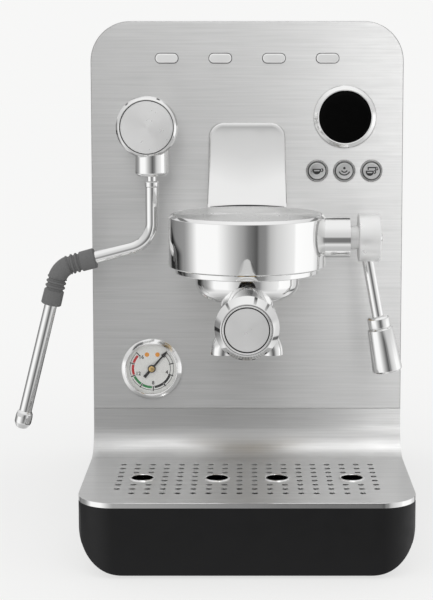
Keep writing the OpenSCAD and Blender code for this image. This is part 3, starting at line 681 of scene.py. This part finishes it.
ICONS = {
    "button_one_cup": cup(-0.3, 1.5, 6.0),
    "button_steam": [circle(0, 2.0, 0.85, 20), band(0, 1.2, 2.1, 0.8, 205, 335),
                     band(0, 1.2, 4.0, 0.85, 205, 335)],
    "button_two_cups": [*cup(-1.2, 0.2, 5.6), band(3.5, 1.7, 1.0, 0.7, -85, 88),
                        [(-2.7, 0.8), (-2.7, 2.8), (3.4, 2.8), (3.4, 0.2), (2.6, 0.2), (2.6, 2.0),
                         (-1.9, 2.0), (-1.9, 0.8)]],
}


CAP_FACE = 1.76


def make_buttons():
    rings = []
    for node, i in BUTTONS:
        at = centre(node)
        place = facing(at.x, 0, at.z)
        rings.append(lathe(f"ring_{i}", [
            (6.25, -5.5), (7, -5.5), (7, 0), (7.8, 0), (7.8, 0.9, 0.5), (7.2, 1.6, 0.4), (6.7, 1.6, 0.3),
            (6.25, 1.0), (6.25, -5.5)], place, 72))
        replace(node, lathe(node + "_cap", [
            (0, 1.75), (4.4, 1.8), (5.4, 2.0, 0.5), (5.9, 1.4, 0.4), (5.9, -8), (2, -8), (2, -13), (0, -13)],
            place, 72))
        icon = plate(node + "_icon", ICONS[node], 0.14, facing(at.x, -CAP_FACE, at.z))
        install(icon, ICON_INK, BODY_OF[node])
    replace("button_rings", merge("button_rings_turned", rings))


# ---------------------------------------------------------------- gauge


def clockwise(radius, angle):
    """Point of the dial at a clock angle."""
    a = math.radians(angle)
    return radius * math.sin(a), radius * math.cos(a)


def dial_band(radius, width, start, end):
    return band(0, 0, radius, width, 90 - start, 90 - end)


def dial_tick(angle, inner, outer, width):
    a = math.radians(angle)
    side = Vector((math.cos(a), -math.sin(a))) * width / 2
    ends = [Vector(clockwise(r, angle)) for r in (inner, outer)]
    return [tuple(ends[0] - side), tuple(ends[0] + side), tuple(ends[1] + side), tuple(ends[1] - side)]


# Clock angle of the needle at rest, and how thick the prints are
NEEDLE_REST = 41
PRINT_T = 0.06


def make_gauge():
    place = facing(GAUGE.x, 0, GAUGE.z)
    ring = polished("chrome", 0.9, 0.12)
    replace("gauge_bezel", lathe("gauge_bezel_polished", [
        (18.0, 1.1), (21.7, 1.1), (21.7, 2.4, 0.5), (21.1, 3.1, 0.4), (18.5, 5.2, 0.4), (17.8, 4.7, 0.2),
        (17.6, 3.2, 0.2), (18.0, 1.1)], place, 160), ring)
    print_at = place @ Matrix.Translation((0, 0, 1.0))
    prints = {
        "scale_lines": (INK_GREY, [dial_band(15.5, 0.4, 43, 242), dial_band(15.5, 0.4, 252, 316),
                                   dial_band(13.2, 0.5, 46, 108)]),
        "scale_black": (INK_BLACK, [dial_band(13.4, 1.7, 111, 140), dial_band(13.4, 1.7, 143, 172)]
                        + [dial_tick(a, 12.5, 16.0, 0.75) for a in (76, 109, 142, 176, 212, 248, 285, 317)]),
        "scale_green": (INK_GREEN, [dial_band(13.4, 1.7, 180, 209), dial_band(13.4, 1.7, 215, 245)]),
        "scale_red": (INK_RED, [dial_band(13.4, 1.7, 251, 282), dial_band(13.4, 1.7, 288, 313)]),
        "dial_lamps": (INK_AMBER, [circle(-3.4, 10, 1.6, 24), circle(4.1, 10, 1.6, 24)]),
    }
    for name, (finish, loops) in prints.items():
        install(plate(name, loops, PRINT_T, print_at), finish, "root")
    for number, angle, reach in (("4", 104, 11.0), ("8", 175, 10.4), ("12", 249, 10.3), ("16", 318, 11.0)):
        text = bpy.data.curves.new("dial_" + number, "FONT")
        text.body = number
        text.size = 3.6
        text.offset = 0.08
        text.align_x = "CENTER"
        text.align_y = "CENTER"
        text.extrude = PRINT_T / 2
        x, y = clockwise(reach, angle)
        figure = solid_from_curve("dial_" + number, text, print_at @ Matrix.Translation((x, y, PRINT_T / 2)))
        install(figure, INK_BLACK, "root")
    make_needle(place)


def make_needle(place):
    """Blade on a post, with a brass hub; the blade shows the pressure at rest."""
    half = [(1.1, -8), (0.75, 0), (0.55, 11.8), (1.6, 11.8), (0.3, 16.4)]
    pointer = [(-1.1, -8), *half, *[(-x, y) for x, y in reversed(half[1:])]]
    lean = place @ Matrix.Rotation(math.radians(-NEEDLE_REST), 4, "Z")
    blade = plate("blade", [pointer], 0.7, lean @ Matrix.Translation((0, 0, 1.75)), 0.1, 1)
    post = lathe("post", [
        (0, -6), (0.8, -6), (0.8, 1.6), (2.8, 1.6), (2.8, 2.5, 0.3), (2.3, 2.9), (0, 2.9)], place, 64)
    replace("gauge_needle", merge("gauge_needle_bladed", [blade, post]))
    hub = lathe("needle_hub", [(0, 3.35), (1.4, 3.3), (2.1, 3.0, 0.4), (2.1, 2.8), (0, 2.8)], place, 48)
    install(hub, FINISHES["brass"], "needle")


# ---------------------------------------------------------------- brew group and portafilter

collar_low, collar_high = box("group_collar")
COLLAR_R = collar_high.x
COLLAR_TOP = collar_high.z
NECK_TOP = box("group_neck")[1].z
HANDLE_Z = centre("handle_end_disc").z
HANDLE_TIP = GROUP_Y - box("handle_end_ring")[0].y


def neck_front(x, z):
    """Depth of the neck's front: hollow above, and round the collar's rim at the foot."""
    hollow, foot_y, head_y, gap = 90, -29, -7, 0.1
    rise, run = NECK_TOP - COLLAR_TOP, head_y - foot_y
    chord = math.hypot(rise, run)
    off = math.sqrt(hollow ** 2 - chord ** 2 / 4)
    middle_y = (foot_y + head_y) / 2 - off * rise / chord
    middle_z = (NECK_TOP + COLLAR_TOP) / 2 + off * run / chord
    level = max(z, COLLAR_TOP)
    rim = GROUP_Y + math.sqrt((COLLAR_R + gap) ** 2 - x ** 2)
    share = ((NECK_TOP - level) / rise) ** 4
    return middle_y + math.sqrt(hollow ** 2 - (level - middle_z) ** 2) + share * (rim - foot_y)


def make_neck():
    """Hollow-fronted neck: outlines nested inwards from its side, each pushed out to the front."""
    half_width, corner, rim, flare, back_y = 26.4, 10, 1.9, 0.8, -0.4
    insets = [0, 0.15, 0.5, 0.95, 1.4, rim, 3, 5, 8, 12, 17, 22, half_width]
    behind_collar = (197.6, 210, 222)
    shares = [k / 18 for k in range(19)]
    points, faces = [], []

    def outline(inset):
        radius = max(corner - inset, min(2, (half_width - inset) / 2))
        top = NECK_TOP - inset
        side = half_width - inset
        right = [(side, z) for z in behind_collar]
        right += [(side, COLLAR_TOP + (top - radius - COLLAR_TOP) * share) for share in shares]
        turn = arc(side - radius, top - radius, radius, 0, 90, 14)
        flat = [(turn[-1][0] * (1 - k / 6), top) for k in range(1, 6)]
        half = [(x * (1 + flare / half_width * min(1, (NECK_TOP - z) / (NECK_TOP - COLLAR_TOP))), z)
                for x, z in right + turn + flat]
        return half + [(0, top)] + [(-x, z) for x, z in reversed(half)]

    loops = [[(x, back_y, z) for x, z in outline(0)]]
    for inset in insets:
        fall = rim - math.sqrt(rim ** 2 - max(rim - inset, 0) ** 2)
        loops.append([(x, neck_front(x, z) + fall, z) for x, z in outline(inset)])
    size = len(loops[0])
    for loop in loops:
        points += loop
    for row in range(len(loops) - 1):
        for k in range(size):
            a, b = row * size + k, row * size + (k + 1) % size
            faces.append((a, b, b + size, a + size))
    faces.append(tuple(range(size)))
    return new_piece("group_neck_hollow", mesh_of("group_neck_hollow", points, faces), 50)


def make_seam_shade():
    """Thin dark strip where the neck meets the collar's rim, fading out to the sides: painted shade of the
    joint between them.
    """
    points, faces = [], []
    columns, reach = 48, 25
    for k in range(columns + 1):
        x = reach * (2 * k / columns - 1)
        front = neck_front(x, COLLAR_TOP) - 0.15
        back = front + 0.75
        low = COLLAR_TOP - 0.3
        high = COLLAR_TOP + 0.1 + 0.65 * (1 - (x / reach) ** 2)
        points += [(x, front, low), (x, front, high), (x, back, high), (x, back, low)]
    for k in range(columns):
        for side in range(4):
            a, b = 4 * k + side, 4 * k + (side + 1) % 4
            faces.append((a, b, b + 4, a + 4))
    faces += [(0, 1, 2, 3), tuple(4 * columns + side for side in range(4))]
    return new_piece("seam_shade", mesh_of("seam_shade", points, faces))


def make_group():
    replace("group_neck", make_neck(), polished("satin_chrome", 0.84, 0.13))
    # Dark strip along the neck's foot: painted shade of its joint with the collar.
    install(make_seam_shade(), FINISHES["dark_plastic"], "root")
    plate_r = COLLAR_R - 2.6
    top = turned("chrome", 0.66, 0.3, "Z")
    install(lathe("collar_top_plate", [
        (0, COLLAR_TOP - 0.05), (plate_r, COLLAR_TOP - 0.05, 0.2), (plate_r, COLLAR_TOP - 1)],
        upward(0, GROUP_Y), 192), top, "root")
    lip, foot, step = COLLAR_R - 4, collar_low.z, collar_low.z + 3.8
    replace("group_collar", lathe("group_collar_polished", [
        (0, COLLAR_TOP - 0.9), (plate_r + 0.25, COLLAR_TOP - 0.9), (plate_r + 0.25, COLLAR_TOP, 0.2),
        (COLLAR_R - 1.9, COLLAR_TOP, 0.5), (COLLAR_R, COLLAR_TOP - 1.9, 0.5),
        (COLLAR_R, step + 0.8, 0.6), (COLLAR_R - 1.2, step, 0.3), (lip, step), (lip, foot, 0.6),
        (lip - 3.4, foot, 0.4), (lip - 3.4, COLLAR_TOP - 3.2), (0, COLLAR_TOP - 3.2)],
        upward(0, GROUP_Y), 192))


def make_handle():
    place = facing(0, GROUP_Y, HANDLE_Z)
    end = HANDLE_TIP
    replace("portafilter_handle", lathe("portafilter_handle_polished", [
        (0, 40), (11.8, 40), (12, 48), (12.8, 64.5, 0.5), (15.4, 65.6, 1.2), (16.9, 70, 4), (17.9, 78, 8),
        (18.3, 92, 10), (18.9, end - 9, 0.8), (18.9, end - 7.4, 0.8), (15.4, end - 0.4, 0.6),
        (14.6, end - 0.3, 0.2), (14.3, end - 1.2), (14.3, end - 2), (0, end - 2)], place, 160))
    replace("handle_end_ring", lathe("handle_end_ring_polished", [
        (13.5, end - 2), (14.3, end - 2), (14.3, end - 0.2, 0.25), (13.6, end, 0.25), (13.3, end - 0.5, 0.1),
        (13.3, end - 2)], place, 128))
    disc = turned("spun_steel", 0.8, 0.3, "Y")
    disc.set(Metallic=0.6)
    replace("handle_end_disc", lathe("handle_end_disc_spun", [
        (0, end - 0.6), (12.5, end - 0.6, 0.3), (12.8, end - 1.1), (12.8, end - 2), (0, end - 2)],
        place, 128), disc)
    # Dark rubber rings: one in the gap round the end disc, one round the handle's neck.
    end_dark_ring = lathe("end_dark_ring", [
        (12.6, end - 1.9), (12.7, end - 0.8), (13.4, end - 0.8), (13.5, end - 1.9)], place)
    neck_dark_ring = lathe("neck_dark_ring", [
        (11.9, 47.8), (13.6, 47.8, 0.5), (14.3, 50, 0.8), (13.6, 53.2, 0.6), (12.2, 53.2)], place)
    install(merge("handle_dark_rings", [end_dark_ring, neck_dark_ring]), FINISHES["rubber"], "portafilter")


# ---------------------------------------------------------------- steam side

# The wand's lengths and bend radii; a slope or heading is in degrees clockwise from straight up
WAND_DROP, WAND_BEND, WAND_SLOPE, WAND_RUN = 24, 18, 255, 26
SLEEVE_IN, SLEEVE_BEND, SLEEVE_OUT = 17, 14, 18
TUBE_HEADING, TUBE_LENGTH = 194, 76
PIPE_R = 4.3


def heading(angle):
    """Direction in the XZ plane, clockwise from straight up."""
    a = math.radians(angle)
    return Vector((math.sin(a), 0, math.cos(a)))


class Route:
    """A flat path of straights and bends, drawn from a start and a heading."""

    def __init__(self, start, angle):
        self.points = [start.copy()]
        self.angle = angle

    def straight(self, length, spacing=0.5):
        start = self.points[-1]
        count = max(1, round(length / spacing))
        self.points += [start + heading(self.angle) * length * k / count for k in range(1, count + 1)]
        return self

    def bend(self, angle, radius, count=28):
        sign = 1 if angle > self.angle else -1
        hub = self.points[-1] + heading(self.angle + 90) * radius * sign
        turns = [self.angle + (angle - self.angle) * k / count for k in range(1, count + 1)]
        self.points += [hub - heading(t + 90) * radius * sign for t in turns]
        self.angle = angle
        return self


def sleeve_radius(along):
    """Cuffs at both ends, bellows at both ends of the bend, a plain middle."""
    length = SLEEVE_IN + SLEEVE_OUT + SLEEVE_BEND * math.radians(WAND_SLOPE - TUBE_HEADING)
    cuff, bellows, rib = 9.6, 9.6, 3.2
    from_end = min(along, length - along)
    if from_end < 0.8:
        return 6.2 + 0.75 * math.sin(math.pi / 2 * from_end / 0.8)
    if from_end < cuff:
        return 6.95 - 0.15 * (from_end / cuff)
    if from_end < cuff + bellows:
        wave = math.cos(2 * math.pi * (from_end - cuff) / rib)
        return 6.25 + 0.6 * (abs(wave) ** 0.7) * (1 if wave > 0 else -1)
    return 6.4


def make_wand():
    pipe = Route(WAND, 180).straight(WAND_DROP, 4).bend(WAND_SLOPE, WAND_BEND).straight(WAND_RUN + 1, 4)
    stub = lathe("stub", [(0, 264), (3.2, 264), (3.2, 246.4), (4.1, 246.2, 0.3), (4.75, 245.6, 0.4),
                          (4.75, 242.6, 0.4), (4.1, 242), (0, 242)], upward(WAND.x, WAND.y), 64)
    tube = sweep("upper", pipe.points, lambda s: PIPE_R)
    replace("wand_pipe", merge("wand_pipe_polished", [stub, tube]))
    start = pipe.points[-1] - heading(WAND_SLOPE)
    sleeve = Route(start, WAND_SLOPE).straight(SLEEVE_IN, 0.25).bend(TUBE_HEADING, SLEEVE_BEND, 60)
    sleeve.straight(SLEEVE_OUT, 0.25)
    replace("wand_sleeve", sweep("wand_sleeve_ribbed", sleeve.points, sleeve_radius, 48))
    lower = Route(sleeve.points[-1] - heading(TUBE_HEADING), TUBE_HEADING).straight(TUBE_LENGTH + 1, 4)
    replace("wand_tube", sweep("wand_tube_polished", lower.points, lambda s: PIPE_R))
    tip = lower.points[-1]
    place = Matrix.Translation(tip) @ Matrix.Rotation(math.radians(TUBE_HEADING), 4, "Y")
    replace("wand_tip", lathe("wand_tip_polished", [
        (0, 0), (4.4, 0, 0.4), (5.4, 1.6, 2), (5.75, 4, 3), (5.7, 8.4, 2.5), (3.6, 12.3, 2.6), (0.7, 12.5),
        (0.7, 8), (0, 8)], place, 72))


def make_steam_head():
    cap = centre("steam_cap")
    low, high = box("steam_cap")
    radius = (high.x - low.x) / 2
    inner = radius - 2.6
    place = facing(cap.x, high.y, cap.z)
    replace("steam_cap", lathe("steam_cap_polished", [
        (0, 0), (radius - 1, 0, 0.5), (radius, 1, 0.5), (radius, 4.6, 0.6), (radius - 1, 6.8, 0.8),
        (radius - 2.3, 8, 0.5), (inner, 7.9, 0.2), (inner - 0.1, 6.8), (inner - 0.2, 6.6), (0, 6.6)],
        place, 160))
    disc = turned("spun_steel", 0.9, 0.3, "Y")
    disc.set(Metallic=0.6)
    # Dark rubber ring in the gap round the disc: painted shade of that gap.
    gap_shade = lathe("steam_gap_shade", [
        (inner - 0.6, 6.5), (inner - 0.5, 7.3), (inner + 0.05, 7.3), (inner + 0.1, 6.5)], place, 128)
    install(gap_shade, FINISHES["rubber"], "root")
    replace("steam_disc", lathe("steam_disc_spun", [
        (0, 7.55), (inner - 0.9, 7.55, 0.3), (inner - 0.4, 7.0), (inner - 0.4, 6.6), (0, 6.6)],
        place, 160), disc)
    block_top = cap.z - 9
    block = lathe("block", [
        (0, block_top), (11.2, block_top), (11.2, 251.6, 1.8), (9.4, 249.8, 1.2), (3.5, 249.8), (3.5, 262)],
        upward(WAND.x, WAND.y), 128)
    arm = lathe("arm", [(0, -3.0), (12, -3.0), (12, 0), (13.5, 0), (13.5, 42, 0.4), (0, 42)],
                facing(STEAM_ARM_X, 0, cap.z), 128)
    replace("steam_housing", merge("steam_housing_polished", [block, arm]))


# The steam lever's pivot, its lean in degrees, how far inside the pivot its rod stands and where
# the boss on the collar ends
LEVER = Vector((79.6, GROUP_Y + 4, 212.4))
LEVER_LEAN = 10.5
ROD_IN = 3.3
BOSS_END = 67


def make_lever():
    along = (Matrix.Translation(LEVER - Vector((ROD_IN, 0, 0)))
             @ Matrix.Rotation(math.radians(180 - LEVER_LEAN), 4, "Y"))
    low, high = box("lever_drum")
    radius, half = (high.z - low.z) / 2, high.x - LEVER.x
    drum = lathe("drum", [
        (0, -half), (radius - 0.6, -half, 0.2), (radius, 0.5 - half, 0.3), (radius, half - 0.5, 0.3),
        (radius - 0.6, half, 0.2), (0, half)], sideways(*LEVER), 128)
    end, step = low.x - LEVER.x, BOSS_END - 2.6 - LEVER.x
    shaft = lathe("shaft", [(0, end), (4, end), (4, step), (7.8, step), (7.8, -half), (0, -half)],
                  sideways(*LEVER), 64)
    satin = polished("satin_chrome", 0.86, 0.42)
    satin.set(Metallic=0.6)
    replace("lever_drum", merge("lever_drum_polished", [drum, shaft]), satin)
    replace("lever_rod", lathe("lever_rod_polished", [
        (0, 14.5), (3.8, 14.5), (3.8, 53.5), (0, 53.5)], along, 64))
    replace("lever_grip", lathe("lever_grip_polished", [
        (0, 53), (6.2, 53, 0.4), (7.35, 54.2, 0.8), (7.35, 59.8, 0.6), (7.0, 60.6), (8.3, 61.5, 0.4),
        (9.8, 88.8, 0.8), (8.8, 90, 0.6), (3, 90, 0.3), (3, 88.5), (0, 88.5)], along, 96))


# ---------------------------------------------------------------- drip tray and casing

TRAY_FRONT = box("tray_cover")[0].y
TRAY_FLAT = box("tray_bin")[1].z + 3.3
DRAINS = [Vector((x, -70)) for x in (-70, -20, 20, 70)]


def on_skirt(at, normal):
    """Whether a face of the tray's cover is on the outer side of its rim."""
    skirt_h, upstand_y, inland = 3.4, -18, 40
    level = TRAY_FLAT - skirt_h < at.z < TRAY_FLAT + 0.01 and abs(normal.z) < 0.95
    outwards = at.x * normal.x + (at.y - TRAY_FRONT - inland) * normal.y > 0
    return level and at.y < upstand_y and (at.y < TRAY_FRONT + 1 or outwards)


def on_lip(at):
    """Whether a face of the tray's cover is on the lip of one of its drains."""
    sheet, lip_r = 2.1, 8.85
    return at.z > TRAY_FLAT - sheet and min((at.xy - drain).length for drain in DRAINS) < lip_r


def make_tray():
    """Brushed cover with a polished rim and drain lips, over its bin."""
    cover = replace("tray_cover", grain_along_x(softened("tray_cover", 0.25, 1, limit=50)))
    cover.data.materials.append(polished("tray_steel", 0.86, 0.08).material)
    for face in cover.data.polygons:
        at = face.center / MM
        if on_skirt(at, face.normal) or on_lip(at):
            face.material_index = 1
    replace("tray_bin", softened("tray_bin", 0.9, 3))


def make_casing():
    for node, width in (("body_shell", 1.0), ("rear_cover", 0.5), ("tank_lid", 0.7), ("base_chassis", 0.8),
                        ("front_foot", 0.6), ("mains_inlet", 0.4), ("power_button", 0.5)):
        replace(node, softened(node, width))
    replace("cup_plate", grain_along_x(softened("cup_plate", 0.3)))


def finish_cad_nodes():
    """Gives every CAD node that still shows the finish of its own slot."""
    for node in NODES.values():
        for slot in node.material_slots:
            if slot.material.name in FINISHES:
                slot.material = FINISHES[slot.material.name].material


make_front_panel()
make_badge_bars()
make_display()
make_buttons()
make_gauge()
make_group()
make_handle()
make_wand()
make_steam_head()
make_lever()
make_tray()
make_casing()
finish_cad_nodes()
panel = bpy.data.objects["front_panel_steel"]
tray = bpy.data.objects["tray_cover_soft"]
make_lamp("panel_lamp", (120, -1050, 820), (0, 0, 220), 900, 4.5, panel)
make_lamp("tray_lamp", (260, -1000, 95), (40, 0, 60), 160, 0.9, tray)
make_lamp("tray_top_lamp", (60, -260, 900), (0, -10, 45), 500, 1.5, tray)
make_lamp("panel_fill", (330, -1050, 230), (60, 0, 160), 420, 1.7, panel)
